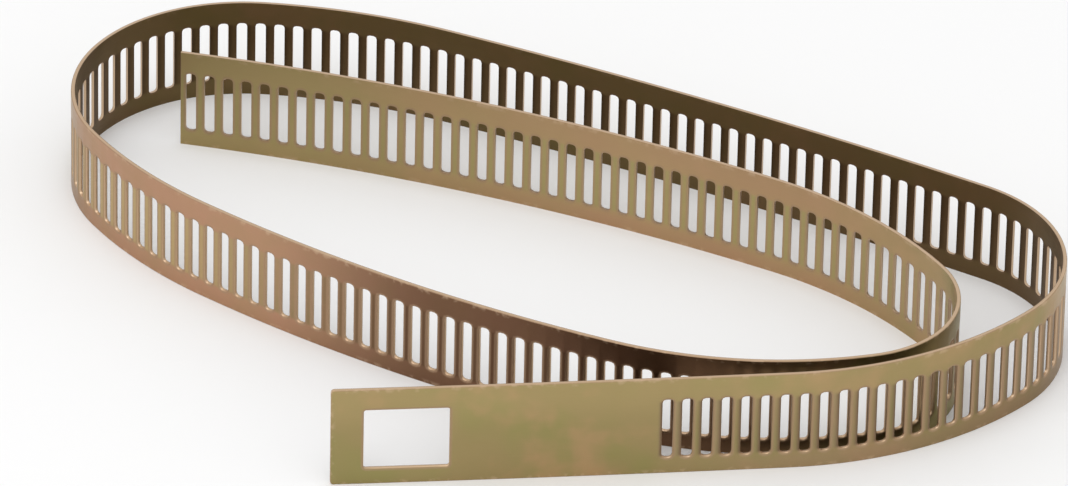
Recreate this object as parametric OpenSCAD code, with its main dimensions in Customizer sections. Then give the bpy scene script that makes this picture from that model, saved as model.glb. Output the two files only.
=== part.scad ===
// Slotted clamping band, punched from one strip of sheet steel.
// It stands on its edge as a loose, flattened coil of almost two turns that runs inwards
// anticlockwise, with the window end outside and the slotted end inside.
// Millimetres, Z up. The origin is under the middle of the coil, on the surface it stands on.

/* [Strip] */
// Width of the strip, upright as it stands
strip_w = 25; // [22:0.5:40]
// Thickness of the sheet
strip_t = 1; // [0.5:0.1:1.2]
// Radius of the two corners at the window end
end_corner_r = 0.8; // [0.2:0.1:3]

/* [Window and slots] */
// Height of the window and of every slot
hole_h = 15.5; // [8:0.5:16.5]
// Plain margin of the strip under the holes
hole_margin = 4; // [2:0.5:5]
// Width of the window, along the strip
window_w = 19.5; // [5:0.5:30]
// Radius of the corners of the window
window_corner_r = 0.5; // [0.1:0.1:2.4]
// Plain length between the window and its end of the strip
window_margin = 7.5; // [3:0.5:15]
// Length from the window end to the middle of the first slot
first_slot = 76.5; // [55:0.5:90]
// Length from the middle of one slot to the next
slot_pitch = 4.5; // [4.1:0.05:4.55]
// Width of one slot, along the strip
slot_w = 2.5; // [1.8:0.1:3]
// Radius of the corners of a slot
slot_corner_r = 0.8; // [0.1:0.1:1.2]
// Number of slots
slot_count = 199; // [170:1:203]
// Plain length between the last slot and the inner end of the strip
tail_margin = 1.25; // [0.8:0.05:4]

/* [Outer turn of the coil] */
// Angle of the window end to the X axis
start_angle = 5.5; // [0.5:0.5:10]
// Radius of the slightly bowed front run, as all radii here at the outer face
front_r = 4000; // [3400:100:6000]
// Degrees that the front run turns
front_turn = 1.5; // [1.4:0.1:2]
// Radius of the lead into the right-hand bend
right_lead_r = 86; // [80:1:92]
// Degrees that this lead turns
right_lead_turn = 42; // [40:1:44]
// Radius of the right-hand bend
right_r = 36.5; // [35:0.5:39]
// Degrees that the right-hand bend turns
right_turn = 100; // [98:1:102]
// Radius of the back run
back_r = 1160; // [1140:10:1250]
// Degrees that the back run turns
back_turn = 7; // [6.9:0.1:7.5]
// Radius of the lead into the left-hand bend
left_lead_r = 135; // [125:5:145]
// Degrees that this lead turns
left_lead_turn = 19.5; // [19:0.5:20.5]
// Radius of the left-hand bend
left_r = 41; // [39:0.5:43]
// Degrees that the left-hand bend turns
left_turn = 125.5; // [124.5:0.5:127]

/* [Inner turn of the coil] */
// Radius of the stretch out of the left-hand bend
middle_lead_r = 115; // [105:5:120]
// Degrees that this stretch turns
middle_lead_turn = 20; // [19:0.5:21]
// Radius of the run that passes behind the front run
middle_r = 385; // [370:5:390]
// Degrees that this run turns
middle_turn = 16.5; // [16:0.5:17]
// Radius of the lead into the inner bend
inner_lead_r = 92; // [88:1:95]
// Degrees that this lead turns
inner_lead_turn = 38.5; // [37:0.5:40]
// Radius of the inner bend, the tightest one
inner_r = 27; // [25:0.5:29]
// Degrees that the inner bend turns
inner_turn = 104.5; // [102:0.5:107]
// Radius of the stretch out of the inner bend
last_lead_r = 100; // [80:5:120]
// Degrees that this stretch turns
last_lead_turn = 30.5; // [28:0.5:33]
// Radius of the last run, which takes what is left of the strip
last_r = 500; // [400:10:700]

/* [Hidden] */

// Every bend but the last, from the window end inwards: radius and degrees turned
lead_bends = [
    [front_r, front_turn],
    [right_lead_r, right_lead_turn],
    [right_r, right_turn],
    [back_r, back_turn],
    [left_lead_r, left_lead_turn],
    [left_r, left_turn],
    [middle_lead_r, middle_lead_turn],
    [middle_r, middle_turn],
    [inner_lead_r, inner_lead_turn],
    [inner_r, inner_turn],
    [last_lead_r, last_lead_turn]
];

// Length of a bend along the middle of the sheet, and the turn that a length makes
function bend_length(bend) = (bend[0] - strip_t / 2) * bend[1] * PI / 180;
function turn_of(length, r) = length / (r - strip_t / 2) * 180 / PI;
function sum(list, i = 0) = i < len(list) ? list[i] + sum(list, i + 1) : 0;

// The last bend takes the rest of the strip
strip_length = first_slot + (slot_count - 1) * slot_pitch + slot_w / 2 + tail_margin;
rest_length = strip_length - sum([for (bend = lead_bends) bend_length(bend)]);
bends = concat(lead_bends, [[last_r, turn_of(rest_length, last_r)]]);

// A state is where a bend starts: x and y on the outer face, heading, length from the end
function after(state, bend) = [
    state[0] + bend[0] * (sin(state[2] + bend[1]) - sin(state[2])),
    state[1] - bend[0] * (cos(state[2] + bend[1]) - cos(state[2])),
    state[2] + bend[1],
    state[3] + bend_length(bend)
];
states = [
    for (i = 0, state = [0, 0, start_angle, 0]; i < len(bends); state = after(state, bends[i]), i = i + 1)
        state
];

// The bend that a length from the window end falls in, and the state at that length
function bend_at(length, i = 0) =
    i == len(bends) - 1 || length < states[i + 1][3] ? i : bend_at(length, i + 1);
function state_at(length) =
    let (i = bend_at(length))
    after(states[i], [bends[i][0], turn_of(length - states[i][3], bends[i][0])]);

// The sheet bends in small flats, with an edge across the middle of every slot and every bar
flat = slot_pitch / 2;
shortest_flat = flat / 4;
stations = concat(
    [0],
    [
        for (length = [first_slot % flat : flat : strip_length])
            if (length > shortest_flat && length < strip_length - shortest_flat)
                length
    ],
    [strip_length]
);

// Points along a face of the sheet, a depth in from the outer face
function face_points(depth) = [
    for (length = stations)
        let (state = state_at(length))
        [state[0] - depth * sin(state[2]), state[1] + depth * cos(state[2])]
];
outer_face = face_points(0);
inner_face = face_points(strip_t);

// The middle of the coil's bounding box
outer_x = [for (point = outer_face) point[0]];
outer_y = [for (point = outer_face) point[1]];
middle = [(min(outer_x) + max(outer_x)) / 2, (min(outer_y) + max(outer_y)) / 2, 0];

// How far a cutter passes the faces, short of the next turn of the coil
cut = 0.4;
corner_fn = 24;

// The whole strip before punching
module plain_strip()
    linear_extrude(strip_w)
        polygon(concat(outer_face, [for (i = [len(inner_face) - 1 : -1 : 0]) inner_face[i]]));

// Puts children at a length from the window end: X along the strip, Y inwards, zero at the outer face
module at_length(length) {
    state = state_at(length);
    translate([state[0], state[1], 0])
        rotate([0, 0, state[2]])
            children();
}

// A hole of a width and corner radius through the sheet, centred along the strip
module punch(w, corner_r) {
    half = w / 2 - corner_r;
    low = hole_margin + corner_r;
    high = hole_margin + hole_h - corner_r;
    translate([0, strip_t + cut, 0])
        rotate([90, 0, 0])
            linear_extrude(strip_t + 2 * cut)
                union() {
                    translate([-half, hole_margin])
                        square([2 * half, hole_h]);
                    translate([-w / 2, low])
                        square([w, high - low]);
                    for (x = [-half, half], z = [low, high])
                        translate([x, z])
                            circle(corner_r, $fn = corner_fn);
                }
}

// What rounds one corner of the window end, with the corner at the origin and the strip above it
module corner_cut()
    translate([0, strip_t + cut, 0])
        rotate([90, 0, 0])
            linear_extrude(strip_t + 2 * cut)
                difference() {
                    translate([-cut, -cut])
                        square(end_corner_r + cut);
                    translate([end_corner_r, end_corner_r])
                        circle(end_corner_r, $fn = 2 * corner_fn);
                }

module band()
    color([0.62, 0.56, 0.36])
        translate(-middle)
            difference() {
                plain_strip();
                at_length(window_margin + window_w / 2)
                    punch(window_w, window_corner_r);
                for (i = [0 : slot_count - 1])
                    at_length(first_slot + i * slot_pitch)
                        punch(slot_w, slot_corner_r);
                at_length(0) {
                    corner_cut();
                    translate([0, 0, strip_w])
                        mirror([0, 0, 1])
                            corner_cut();
                }
            }

band();
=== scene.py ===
import math

import bpy
import numpy as np
from mathutils import Euler, Matrix, Vector


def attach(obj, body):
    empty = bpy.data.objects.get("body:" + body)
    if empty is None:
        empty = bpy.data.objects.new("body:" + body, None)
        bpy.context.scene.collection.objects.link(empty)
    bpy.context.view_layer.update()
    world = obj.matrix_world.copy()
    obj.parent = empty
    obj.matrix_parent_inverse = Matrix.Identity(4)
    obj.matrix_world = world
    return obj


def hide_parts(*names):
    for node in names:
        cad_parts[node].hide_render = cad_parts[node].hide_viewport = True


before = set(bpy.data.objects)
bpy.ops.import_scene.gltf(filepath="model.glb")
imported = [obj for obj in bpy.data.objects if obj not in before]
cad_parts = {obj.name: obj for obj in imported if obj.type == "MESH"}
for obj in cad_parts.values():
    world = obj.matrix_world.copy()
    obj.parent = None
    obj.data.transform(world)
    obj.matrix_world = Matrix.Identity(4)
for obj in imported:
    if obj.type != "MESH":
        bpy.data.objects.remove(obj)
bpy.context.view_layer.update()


# The flat strip
# One length of 25 mm sheet steel, 1 mm thick, slit from coil. A press punches the window and the
# 199 slots from the outer side, which rolls their edges in on that side and leaves them sharp inside.
# Sizes are millimetres on the flat: s along the strip, z across it, depth inwards.
STRIP_W = 25.0
STRIP_T = 1.0
HOLE_LOW = 4.0
HOLE_HIGH = 19.5
WINDOW = (7.5, 27.0)
WINDOW_CORNER_R = 0.5
FIRST_SLOT = 76.5
SLOT_PITCH = 4.5
SLOT_W = 2.5
SLOT_CORNER_R = 0.8
SLOT_COUNT = 199
TAIL_MARGIN = 1.25
END_CORNER_R = 0.8
STRIP_LENGTH = FIRST_SLOT + (SLOT_COUNT - 1) * SLOT_PITCH + SLOT_W / 2 + TAIL_MARGIN

# How far an edge is rolled in, along the face and into it
PUNCH_ROLL = (0.7, 0.24)
SLIT_ROLL = (0.16, 0.14)
# Both faces end here, just before the slit edge rolls in, which keeps their shading flat
EDGE = 0.24
# Points over a quarter circle of a rolled edge, and of the strip's rounded end
ROLL_POINTS = 3
END_POINTS = 5


def cut_profile(roll):
    """Profile over a cut edge, from the outer face to the inner one, as pairs of distance from the
    wall and depth: a quarter of an ellipse, on which the distance falls as width * (1 - sin a) and
    the depth grows as depth * (1 - cos a), and then the straight wall."""
    angle = np.linspace(0, math.pi / 2, ROLL_POINTS)
    rolled = np.stack([roll[0] * (1 - np.sin(angle)), roll[1] * (1 - np.cos(angle))], 1)
    return np.concatenate([rolled, [(0, STRIP_T)]])


def side_stations(low, start, stop, high, segments):
    """Places along one side of the cell around a hole: the cell's corner, even steps along the
    hole's straight side, and the other corner."""
    return np.concatenate([[low], np.linspace(start, stop, segments + 1), [high]])


def rows_beside(corner_r):
    """Places across the strip where the cell around a hole with that corner radius has its rows."""
    low, high = HOLE_LOW + corner_r, HOLE_HIGH - corner_r
    return side_stations(EDGE, low, high, STRIP_W - EDGE, segments=1)


def grid_faces(rows, columns, closed=False):
    """Quads between the points of a grid kept row by row, closed round the columns if asked."""
    row = np.arange(rows - 1)[:, None] * columns
    next_row = row + columns
    column = np.arange(columns if closed else columns - 1)[None, :]
    after = (column + 1) % columns
    return np.stack([row + column, row + after, next_row + after, next_row + column], 2).reshape(-1, 4)


class Sheet:
    """Points and quads of the flat strip, gathered patch by patch. Each point is (s, z, depth), and
    has its distance from a cut edge and the way from there into the sheet."""

    def __init__(self):
        self.points, self.distances, self.ways, self.faces, self.count = [], [], [], [], 0

    def add(self, points, distances, ways, faces):
        """One patch: a grid of points, what holds at each point or at all of them, and its quads."""
        self.points.append(points.reshape(-1, 3))
        self.distances.append(np.broadcast_to(distances, points.shape[:2]).ravel())
        self.ways.append(np.broadcast_to(ways, points.shape[:2] + (2,)).reshape(-1, 2))
        self.faces.append(faces + self.count)
        self.count += len(self.points[-1])

    def add_plain(self, s_from, z_from, s_to, z_to, segments):
        """A stretch without holes, on both faces: straight rows in even steps between two columns."""
        step = np.linspace(0, 1, segments + 1)[None, :]
        s = s_from[:, None] * (1 - step) + s_to[:, None] * step
        z = z_from[:, None] * (1 - step) + z_to[:, None] * step
        faces = grid_faces(*s.shape)
        self.add(np.stack([s, z, np.zeros_like(s)], 2), STRIP_W, (0, 0), faces)
        self.add(np.stack([s, z, np.full_like(s, STRIP_T)], 2), STRIP_W, (0, 0), faces[:, ::-1])

    def add_hole(self, hole, corner_r, cell, segments, repeats=1):
        """Holes one pitch apart, each with the sheet of its cell: rings from the cell's outline on
        the outer face, over the profile of the punched edge carried round the hole's rounded
        rectangle, to the outline on the inner face. hole and cell are (s low, s high)."""
        low_s, high_s = hole[0] + corner_r, hole[1] - corner_r
        low_z, high_z = HOLE_LOW + corner_r, HOLE_HIGH - corner_r
        s_side = side_stations(cell[0], low_s, high_s, cell[1], segments)
        z_side = rows_beside(corner_r)
        outline = np.concatenate([
            np.stack([s_side[:-1], np.full(len(s_side) - 1, z_side[0])], 1),
            np.stack([np.full(len(z_side) - 1, cell[1]), z_side[:-1]], 1),
            np.stack([s_side[:0:-1], np.full(len(s_side) - 1, z_side[-1])], 1),
            np.stack([np.full(len(z_side) - 1, cell[0]), z_side[:0:-1]], 1),
        ])
        # The wall, corner by corner: an arc of three points, which face the cell's corner and the
        # outline's points beside it, and then the straight side up to the next arc
        turn = np.linspace(0, math.pi / 2, 3)
        corners = np.array([(low_s, low_z), (high_s, low_z), (high_s, high_z), (low_s, high_z)])
        wall, ways = [], []
        for quarter, corner in enumerate(corners):
            angle = turn + math.pi + quarter * math.pi / 2
            arc_ways = np.stack([np.cos(angle), np.sin(angle)], 1)
            count = segments if quarter % 2 == 0 else 1
            arc = corner + corner_r * arc_ways
            next_arc_start = corners[(quarter + 1) % 4] + corner_r * arc_ways[-1]
            side = np.linspace(arc[-1], next_arc_start, count + 1)[1:-1]
            wall += [arc, side]
            ways += [arc_ways, np.repeat(arc_ways[-1:], count - 1, 0)]
        # The outline starts at the cell's corner, so the wall starts at the middle of its first arc
        wall = np.roll(np.concatenate(wall), -1, 0)
        ways = np.roll(np.concatenate(ways), -1, 0)
        profile = cut_profile(PUNCH_ROLL)
        rings = np.concatenate([outline[None], wall + profile[:, None, :1] * ways, outline[None]])
        depth = np.concatenate([[0], profile[:, 1], [STRIP_T]])[:, None, None]
        rings = np.concatenate([rings, np.broadcast_to(depth, rings.shape[:2] + (1,))], 2)
        gap = np.linalg.norm(outline - wall, axis=1)
        distances = np.concatenate([[gap], np.repeat(profile[:, :1], len(wall), 1), [gap]])
        for number in range(repeats):
            shifted = rings + [number * SLOT_PITCH, 0, 0]
            self.add(shifted, distances, ways, grid_faces(*rings.shape[:2], closed=True))

    def joined(self):
        """Points, distances, ways and quads in one array each, with points at one place joined."""
        points = np.concatenate(self.points)
        keys = np.round(points * 1e4).astype(np.int64)
        _, first, where = np.unique(keys, axis=0, return_index=True, return_inverse=True)
        faces = where.ravel()[np.concatenate(self.faces)]
        distances, ways = np.concatenate(self.distances), np.concatenate(self.ways)
        return points[first], distances[first], ways[first], faces


sheet = Sheet()

# The window, and the rounded end before it, whose quarter circles fan out from its two middle rows
WINDOW_CELL = (3.0, 33.0)
sheet.add_hole(WINDOW, WINDOW_CORNER_R, WINDOW_CELL, segments=8)
rows = rows_beside(WINDOW_CORNER_R)
turn = np.linspace(0, math.pi / 2, END_POINTS)
arc_s = END_CORNER_R - (END_CORNER_R - EDGE) * np.sin(turn)
arc_z = END_CORNER_R - (END_CORNER_R - EDGE) * np.cos(turn)
head_s = np.concatenate([arc_s, arc_s[::-1]])
head_z = np.concatenate([arc_z, STRIP_W - arc_z[::-1]])
fan_rows = np.repeat(rows, [1, END_POINTS - 1, END_POINTS - 1, 1])
sheet.add_plain(head_s, head_z, np.full_like(head_s, WINDOW_CELL[0]), fan_rows, segments=2)

# The plain stretch, the slots, and the last slot, whose cell ends at the cut end of the strip
slot_rows = rows_beside(SLOT_CORNER_R)
first_cell = FIRST_SLOT - SLOT_PITCH / 2
last_cell = first_cell + (SLOT_COUNT - 1) * SLOT_PITCH
tail = STRIP_LENGTH - EDGE
plain_start = np.full_like(rows, WINDOW_CELL[1])
plain_stop = np.full_like(rows, first_cell)
sheet.add_plain(plain_start, rows, plain_stop, slot_rows, segments=9)
slot_in_cell = np.array([SLOT_PITCH - SLOT_W, SLOT_PITCH + SLOT_W]) / 2
cell = (first_cell, first_cell + SLOT_PITCH)
sheet.add_hole(first_cell + slot_in_cell, SLOT_CORNER_R, cell, segments=1, repeats=SLOT_COUNT - 1)
sheet.add_hole(last_cell + slot_in_cell, SLOT_CORNER_R, (last_cell, tail), segments=1)

# The slit edge runs all round: along the bottom, up the tail, back along the top, down the head.
# Its profile is carried along the outwards way, which is a diagonal at the tail's two corners.
flat_points = np.concatenate(sheet.points)
bottom_s = np.unique(np.round(flat_points[np.isclose(flat_points[:, 1], EDGE), 0], 6))
perimeter = np.concatenate([
    np.stack([bottom_s, np.full_like(bottom_s, EDGE)], 1),
    np.stack([np.full_like(slot_rows, tail), slot_rows], 1)[1:-1],
    np.stack([bottom_s[::-1], np.full_like(bottom_s, STRIP_W - EDGE)], 1),
    np.stack([head_s, head_z], 1)[-2:0:-1],
])
outwards = perimeter - np.clip(perimeter, END_CORNER_R, [np.inf, STRIP_W - END_CORNER_R])
outwards /= np.maximum(np.linalg.norm(outwards, axis=1, keepdims=True), EDGE)
outwards[np.isclose(perimeter[:, 0], tail), 0] = 1
slit = np.concatenate([[(EDGE, 0)], cut_profile(SLIT_ROLL), [(EDGE, STRIP_T)]])
edge = perimeter + (EDGE - slit[:, None, :1]) * outwards
edge = np.concatenate([edge, np.broadcast_to(slit[:, 1, None, None], edge.shape[:2] + (1,))], 2)
sheet.add(edge, slit[:, :1], -outwards, grid_faces(*edge.shape[:2], closed=True)[:, ::-1])


# The coil
# The punched strip is bent by hand into a loose, flattened coil of almost two turns, and stands on
# its slit edge. Each bend is a radius of the outer face in millimetres and the degrees it turns.
START_ANGLE = 5.5
BENDS = [
    (4000, 1.5),
    (86, 42),
    (36.5, 100),
    (1160, 7),
    (135, 19.5),
    (41, 125.5),
    (115, 20),
    (385, 16.5),
    (92, 38.5),
    (27, 104.5),
    (100, 30.5),
]
# The last bend takes the rest of the strip
LAST_R = 500
# Each face lies this much deeper, so that the smooth bends stay inside the flats of the frame's
SKIN = 0.03
MM = 0.001


def bent(points):
    """Flat points on the coil. A bend of radius r turns the sheet by s / (r - half the thickness),
    and its outer face runs r * (sin, -cos) of the heading round the middle of the bend."""
    starts = [(0, 0, math.radians(START_ANGLE), 0)]
    for radius, degrees in BENDS:
        x, y, heading, length = starts[-1]
        after = heading + math.radians(degrees)
        starts.append((
            x + radius * (math.sin(after) - math.sin(heading)),
            y - radius * (math.cos(after) - math.cos(heading)),
            after,
            length + (radius - STRIP_T / 2) * math.radians(degrees),
        ))
    x, y, heading, length = np.array(starts).T
    radii = np.array([radius for radius, _ in BENDS] + [LAST_R])
    s, z, depth = points.T
    # The bend that each point falls in, and the heading there
    at = np.searchsorted(length[1:], s, side="right")
    now = heading[at] + (s - length[at]) / (radii[at] - STRIP_T / 2)
    face_x = x[at] + radii[at] * (np.sin(now) - np.sin(heading[at]))
    face_y = y[at] - radii[at] * (np.cos(now) - np.cos(heading[at]))
    # The middle of the coil comes over the origin
    face_x -= (face_x.min() + face_x.max()) / 2
    face_y -= (face_y.min() + face_y.max()) / 2
    inwards = SKIN + depth * (1 - 2 * SKIN / STRIP_T)
    return np.stack([face_x - inwards * np.sin(now), face_y + inwards * np.cos(now), z], 1)


flat, rim, way, quads = sheet.joined()
# A quad with two corners in one place is a triangle
kept = quads != np.roll(quads, -1, 1)
mesh = bpy.data.meshes.new("band_strip")
mesh.vertices.add(len(flat))
mesh.vertices.foreach_set("co", np.ravel(bent(flat) * MM))
mesh.loops.add(np.count_nonzero(kept))
mesh.loops.foreach_set("vertex_index", quads[kept].astype(np.int32))
mesh.polygons.add(len(quads))
mesh.polygons.foreach_set("loop_start", np.append(0, np.cumsum(kept.sum(1))[:-1]).astype(np.int32))
mesh.polygons.foreach_set("use_smooth", np.ones(len(quads), bool))
mesh.update(calc_edges=True)
mesh.validate()
# Only the foot of a wall is sharper than this
mesh.set_sharp_from_angle(angle=math.radians(60))
# The finish follows the flat strip: these hold s, z and depth, and the distance from a cut edge
flat_place = mesh.attributes.new("flat", "FLOAT_VECTOR", "POINT")
flat_place.data.foreach_set("vector", flat.astype(np.float32).ravel())
rim_distance = mesh.attributes.new("rim", "FLOAT", "POINT")
rim_distance.data.foreach_set("value", rim.astype(np.float32))

# The map that the finish is baked through: the strip cut into four lengths, each with its outer
# face beside its inner one. The walls lie inside their own hole, or outside the slit edge. A
# length is 54 pitches, and the first one starts 17 before the slots, so that no cut meets a slot.
MAP_LENGTHS = 4
LENGTH_ON_MAP = 54 * SLOT_PITCH
MAP_START = first_cell - 17 * SLOT_PITCH
MAP_BORDER = 1.0
MAP_SIZE = LENGTH_ON_MAP + 3 * MAP_BORDER
MAP_ROW = MAP_SIZE / (2 * MAP_LENGTHS)
WALL_ON_MAP = 0.45
corner_flat = flat[quads]
is_inside = (corner_flat[..., 2] == STRIP_T).all(1)[:, None, None]
spread = corner_flat[..., :2] - np.where(is_inside, 0, WALL_ON_MAP * corner_flat[..., 2:] * way[quads])
row = (corner_flat[..., 0].mean(1) - MAP_START) // LENGTH_ON_MAP
row = np.clip(row, 0, MAP_LENGTHS - 1)[:, None]
u = spread[..., 0] - MAP_START - row * LENGTH_ON_MAP + MAP_BORDER
v = spread[..., 1] + (2 * row + is_inside[..., 0]) * MAP_ROW + (MAP_ROW - STRIP_W) / 2
bake_map = mesh.uv_layers.new(name="OFBake")
bake_map.uv.foreach_set("vector", (np.stack([u, v], 2)[kept] / MAP_SIZE).astype(np.float32).ravel())

band = bpy.data.objects.new("band_strip", mesh)
bpy.context.scene.collection.objects.link(band)
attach(band, "root")
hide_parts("band")


# The zinc finish
# Bright zinc plate, yellow passivated in one dip. The film's thickness varies, so its olive gold
# wanders to green and to copper pink, and the rolled and cut edges come out paler.
# Shade is painted into the colour too: in both bends, on the run behind the front one, on the outer
# turn's inner face and across each bar.
class Wire:
    """The output of a shader node. Arithmetic on wires and numbers adds Math nodes."""

    def __init__(self, tree, socket=None):
        self.tree, self.socket = tree, socket

    def node(self, kind, settings, sockets, output=0):
        """Any other node: its settings are made first, and then its sockets, by name or number, are
        set to values or linked to wires. Gives the wire of one of its outputs."""
        made = self.tree.nodes.new(kind)
        for name, value in settings.items():
            setattr(made, name, value)
        for name, value in sockets.items():
            if isinstance(value, Wire):
                self.tree.links.new(value.socket, made.inputs[name])
            else:
                made.inputs[name].default_value = value
        return Wire(self.tree, made.outputs[output] if made.outputs else None)

    def math(self, operation, first, second):
        """A Math node on two wires, or on a wire and a number."""
        return self.node("ShaderNodeMath", {"operation": operation}, {0: first, 1: second})

    def __add__(self, other):
        return self.math("ADD", self, other)

    def __sub__(self, other):
        return self.math("SUBTRACT", self, other)

    def __rsub__(self, other):
        return self.math("SUBTRACT", other, self)

    def __mul__(self, other):
        return self.math("MULTIPLY", self, other)

    __radd__, __rmul__ = __add__, __mul__


finish = bpy.data.materials.new("yellow_zinc")
finish.use_nodes = True
finish.node_tree.nodes.clear()
nodes = Wire(finish.node_tree)


def step(wire, low, high):
    """0 up to low, 1 from high on, and a smooth step between."""
    settings = {"interpolation_type": "SMOOTHSTEP"}
    return nodes.node("ShaderNodeMapRange", settings, {"Value": wire, "From Min": low, "From Max": high})


def fade(wire, low, high):
    """1 up to low, 0 from high on, and a smooth step between."""
    return 1 - step(wire, low, high)


def noise(size, detail):
    """Noise on the flat strip with patches of about that size in millimetres."""
    return nodes.node("ShaderNodeTexNoise", {}, {"Vector": place, "Scale": 1 / size, "Detail": detail})


def mixed(first, second, factor):
    """The first colour, and the second one where the factor is 1."""
    return nodes.node("ShaderNodeMix", {"data_type": "RGBA"}, {0: factor, 6: first, 7: second}, 2)


place = nodes.node("ShaderNodeAttribute", {"attribute_name": "flat"}, {}, 1)
s, z, depth = (nodes.node("ShaderNodeSeparateXYZ", {}, {0: place}, axis) for axis in range(3))
from_cut = nodes.node("ShaderNodeAttribute", {"attribute_name": "rim"}, {}, 2)

# Stretches of the strip in millimetres from the window end, each faded in and out
front_run = fade(s, 200, 330)
right_bend = step(s, 90, 190) * fade(s, 240, 330)
front_and_back = fade(s, 430, 515)
left_bend = step(s, 430, 470) * fade(s, 485, 515)
left_run = step(s, 465, 515) * fade(s, 650, 720)
left_run_start = step(s, 485, 510) * fade(s, 535, 580)
behind_front = step(s, 560, 615) * fade(s, 680, 740)
bars_behind_front = step(s, 545, 600) * fade(s, 680, 740)
outer_turn = fade(s, 640, 760)
inner_turn = step(s, 740, 820)
# Parts of its width and of its thickness, and what lies close to an edge
upper_margin = step(z, 12, 22)
lower_margin = fade(z, 2, 6)
beside_holes = step(z, HOLE_LOW, HOLE_LOW + 1) * fade(z, HOLE_HIGH - 1, HOLE_HIGH)
bars = beside_holes * step(s, first_cell - 0.25, first_cell + 0.75)
inner_face = step(depth, 0.45, 0.55)
cut_wall = step(depth, 0.12, 0.26) * fade(depth, 0.9, 0.96)
rolled_edge = fade(from_cut, 0.25, 0.85)
slit_edge = fade(z, 0.3, 1.3) + step(z, STRIP_W - 1.3, STRIP_W - 0.3) + fade(s, 0.3, 1.3)

OLIVE = (0.350, 0.270, 0.123, 1)
GREEN = (0.315, 0.273, 0.108, 1)
MOSS = (0.430, 0.365, 0.150, 1)
TAN = (0.430, 0.290, 0.145, 1)
COPPER = (0.480, 0.270, 0.170, 1)
STRAW = (0.540, 0.400, 0.190, 1)
CREAM = (0.355, 0.270, 0.160, 1)
ROSE = (0.400, 0.265, 0.165, 1)
# painted shade for both bends and for the run behind the front one
SHADE_UMBER = (0.115, 0.055, 0.030, 1)
# painted shade on the outer turn's inner face, and the tail's own brown
SHADE_AND_TAIL_BROWN = (0.095, 0.055, 0.024, 1)
# painted shade across each bar
BAR_SHADE_SMOKE = (0.020, 0.012, 0.006, 1)
PALE = (0.620, 0.450, 0.300, 1)

# Wide patches of the film and smaller ones on them
colour = mixed(GREEN, OLIVE, step(noise(22, 2), 0.36, 0.56))
colour = mixed(colour, TAN, step(noise(34, 2) + noise(7, 2) * 0.5, 0.72, 0.95))
# The front run is straw towards the upper edge, and turns rosy along the lower one
colour = mixed(colour, STRAW, upper_margin * front_run * 0.25)
colour = mixed(colour, ROSE, lower_margin * step(s, 70, 110) * front_run * 0.5)
# The left-hand run is coppery. Both bends are darkened with painted shade, less at the upper margin and
# more on the bars, and so is the run where it goes behind the front one.
colour = mixed(colour, COPPER, left_run * (1 - beside_holes * 0.6) * (0.45 + noise(12, 3) * 0.8))
shade_in_bends = (right_bend + left_bend) * (0.35 - upper_margin * 0.15 + beside_holes * 0.3)
shade_behind_front = behind_front * 0.8 + beside_holes * bars_behind_front * 0.25
colour = mixed(colour, SHADE_UMBER, shade_in_bends + shade_behind_front)
# The inner turn is moss green with coppery margins, less so at the tail
colour = mixed(colour, MOSS, inner_turn * (0.3 + noise(18, 2) * 0.7))
margins = (1 - beside_holes) * (noise(15, 2) * 0.35 + upper_margin * 0.45 + lower_margin * 0.5)
colour = mixed(colour, COPPER, inner_turn * margins * (1 - step(s, 860, 950) * 0.7))
# The bars are duller up to the run behind the front one, each a little differently, and straw
# where the left-hand run starts
pitches = s * (1 / SLOT_PITCH)
bar_number = nodes.node("ShaderNodeMath", {"operation": "FLOOR"}, {0: pitches})
bar_tint = nodes.node("ShaderNodeTexWhiteNoise", {"noise_dimensions": "1D"}, {"W": bar_number})
# The cream fades out where the run goes behind the front one, which leaves that run's bars in the
# painted shade
colour = mixed(colour, CREAM, bars * (1 - step(s, 545, 590) * 0.8) * (0.2 + bar_tint * 0.45))
colour = mixed(colour, STRAW, bars * left_run_start * 0.65)
# The rolled edges turn rosy, and handling left small nicks along the slit ones, rubbed pale
colour = mixed(colour, ROSE, rolled_edge * 0.7)
colour = mixed(colour, PALE, slit_edge * step(noise(2, 2), 0.5, 0.68) * 0.4)
# Painted shade browns the outer turn's inner face, most of all between the slots; the tail's inner face
# is a little browner
inner_shade_and_tail = outer_turn * (0.75 + beside_holes * 0.15) + step(s, 860, 930) * 0.15
colour = mixed(colour, SHADE_AND_TAIL_BROWN, inner_face * inner_shade_and_tail)
# Painted shade: each bar of the front and back runs darkens along the strip, from one slot to the next
bar_place = pitches - bar_number
colour = mixed(colour, BAR_SHADE_SMOKE, bars * front_and_back * step(bar_place, 0.4, 0.8) * 0.64)
# Cut walls are paler
colour = mixed(colour, PALE, cut_wall * 0.85)

# The sheet was rolled lengthwise, which leaves a faint long grain, and handling smudged the sheen
GRAIN_SCALE = (0.12, 2.2, 1)
stretched = nodes.node("ShaderNodeVectorMath", {"operation": "MULTIPLY"}, {0: place, 1: GRAIN_SCALE})
grain = nodes.node("ShaderNodeTexNoise", {}, {"Vector": stretched, "Scale": 1, "Detail": 3})
smudges = noise(9, 3)
relief = grain + noise(0.5, 2) * 0.5
bump = nodes.node("ShaderNodeBump", {}, {"Strength": 0.12, "Distance": 0.0002, "Height": relief})
surface = nodes.node("ShaderNodeBsdfPrincipled", {}, {
    "Base Color": colour,
    "Metallic": 1.0,
    "Roughness": 0.24 + grain * 0.12 + smudges * 0.18,
    "Normal": bump,
})
nodes.node("ShaderNodeOutputMaterial", {}, {"Surface": surface})
mesh.materials.append(finish)


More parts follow.
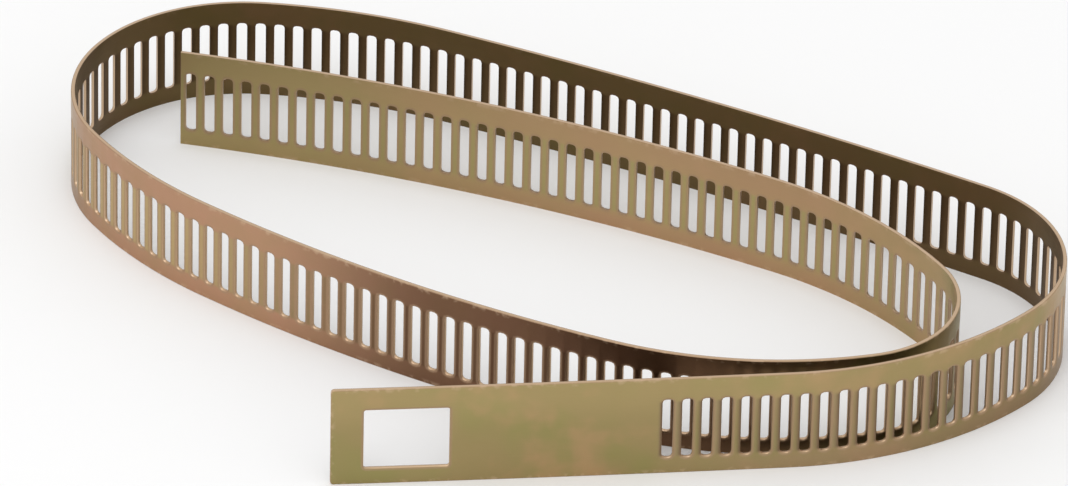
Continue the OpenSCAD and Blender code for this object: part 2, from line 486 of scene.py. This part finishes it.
# The studio
# A pale floor, an even white surround, and one large soft light high in front on the left. The
# camera has a long lens, 2.8 m off and about 32 degrees above the floor.
FLOOR_SIZE = 6.0
FLOOR_GREY = 0.86
WORLD_STRENGTH = 0.93
half = FLOOR_SIZE / 2
floor_corners = [(-half, -half, 0), (half, -half, 0), (half, half, 0), (-half, half, 0)]
floor_mesh = bpy.data.meshes.new("floor")
floor_mesh.from_pydata(floor_corners, [], [(0, 1, 2, 3)])
floor = bpy.data.objects.new("floor", floor_mesh)
bpy.context.scene.collection.objects.link(floor)
paint = bpy.data.materials.new("floor_paint")
paint.use_nodes = True
paint_surface = paint.node_tree.nodes["Principled BSDF"]
paint_surface.inputs["Base Color"].default_value = (FLOOR_GREY, FLOOR_GREY, FLOOR_GREY, 1)
paint_surface.inputs["Roughness"].default_value = 0.9
floor_mesh.materials.append(paint)


def soft_light(name, azimuth, elevation, distance, size, watts):
    """A square light aimed at the coil, from that azimuth (0 is in front) and elevation."""
    lamp = bpy.data.lights.new(name, "AREA")
    lamp.size, lamp.energy = size, watts
    a, e = math.radians(azimuth), math.radians(elevation)
    away = Vector((math.sin(a) * math.cos(e), -math.cos(a) * math.cos(e), math.sin(e)))
    aimed = away.to_track_quat("Z", "Y").to_matrix().to_4x4()
    placed = bpy.data.objects.new(name, lamp)
    placed.matrix_world = Matrix.Translation(away * distance) @ aimed
    bpy.context.scene.collection.objects.link(placed)


soft_light("light_above", azimuth=-35, elevation=62, distance=2.2, size=1.6, watts=14)
world = bpy.data.worlds.new("studio")
bpy.context.scene.world = world
world.use_nodes = True
world.node_tree.nodes["Background"].inputs["Color"].default_value = (1, 1, 1, 1)
world.node_tree.nodes["Background"].inputs["Strength"].default_value = WORLD_STRENGTH

CAMERA_ELEVATION = 31.6
CAMERA_ROLL = 1.25
CAMERA_DISTANCE = 2.805
CAMERA_LENS = 404.5
SENSOR_WIDTH = 36
LOOK_AT = Vector((-0.0066, 0.0201, 0))
camera = bpy.data.objects.new("camera", bpy.data.cameras.new("camera"))
camera.data.lens = CAMERA_LENS
camera.data.sensor_width = SENSOR_WIDTH
camera.data.sensor_fit = "HORIZONTAL"
tilt = math.radians(CAMERA_ELEVATION)
camera.matrix_world = (
    Matrix.Translation(LOOK_AT + CAMERA_DISTANCE * Vector((0, -math.cos(tilt), math.sin(tilt))))
    @ Euler((math.pi / 2 - tilt, 0, 0)).to_matrix().to_4x4()
    @ Matrix.Rotation(math.radians(CAMERA_ROLL), 4, "Z")
)
bpy.context.scene.collection.objects.link(camera)
bpy.context.scene.camera = camera
bpy.context.scene.view_settings.view_transform = "Standard"
